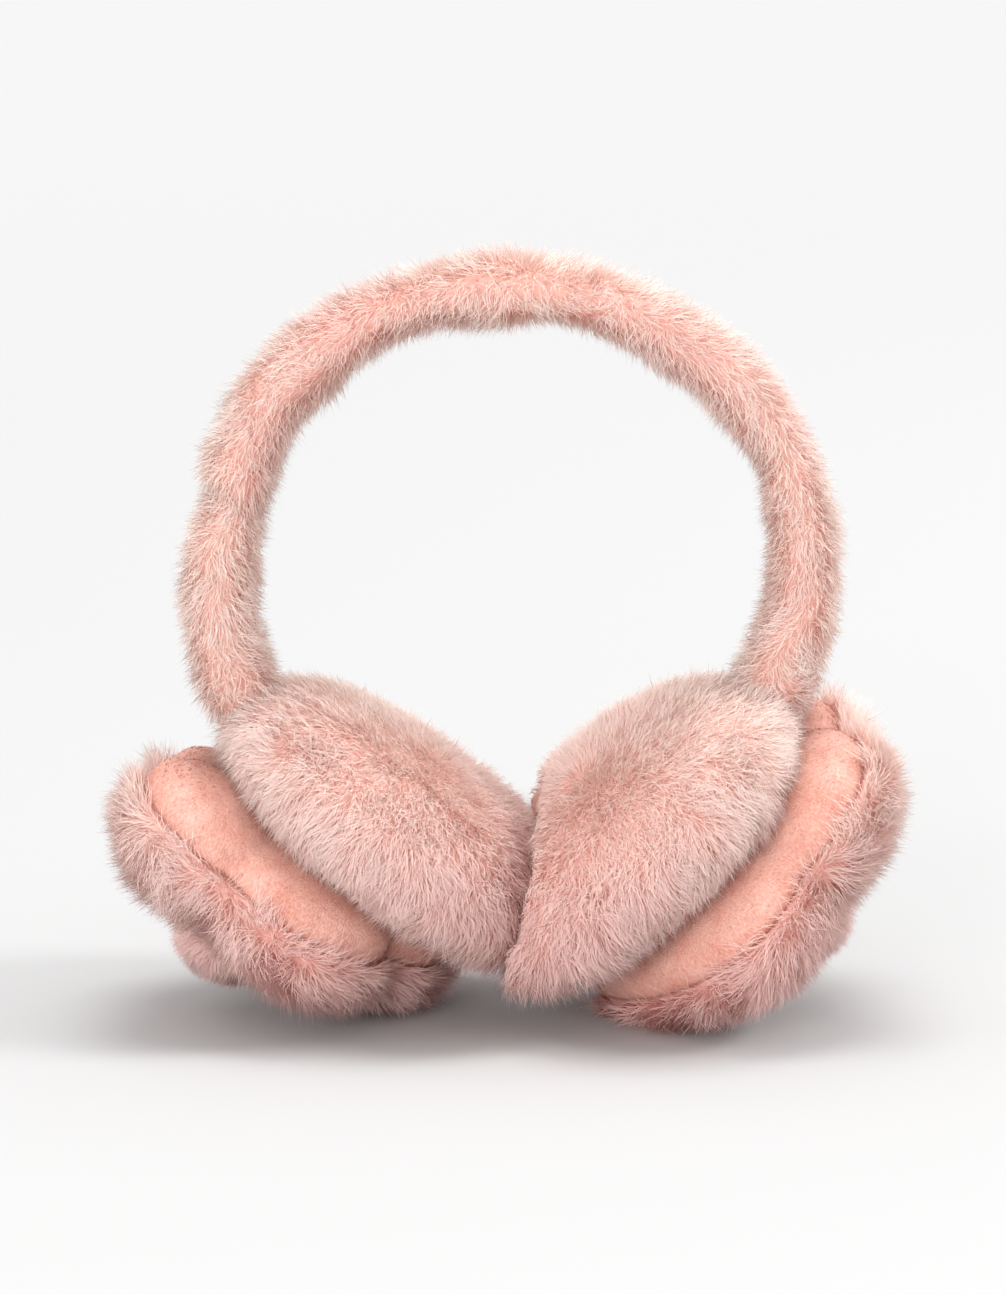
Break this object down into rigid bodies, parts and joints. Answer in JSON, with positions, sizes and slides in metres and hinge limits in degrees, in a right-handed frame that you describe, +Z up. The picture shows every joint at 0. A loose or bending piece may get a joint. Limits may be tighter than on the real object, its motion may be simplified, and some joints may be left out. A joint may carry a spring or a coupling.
{
  "type": "fur earmuffs",
  "caption": "Fur earmuffs: an arched fur-sleeved headband between round fur ear pads, each with a stuffed velour-backed fur flower on its outer side.",
  "frame": {"origin": "middle of the floor under the whole part", "axes": "+Z up, +X to the viewer's right along the headband's width, +Y away from the viewer"},
  "size_m": [0.2162, 0.1158, 0.2064],
  "materials": {
    "fur": "long soft pile, matt",
    "velour": "short brushed pile, matt"
  },
  "bodies": {
    "root": {"headband": "fur", "ear_pad_left": "fur", "flower_back_left": "velour", "flower_front_left": "fur", "flower_centre_left": "fur", "ear_pad_right": "fur", "flower_back_right": "velour", "flower_front_right": "fur", "flower_centre_right": "fur"}
  },
  "joints": []
}
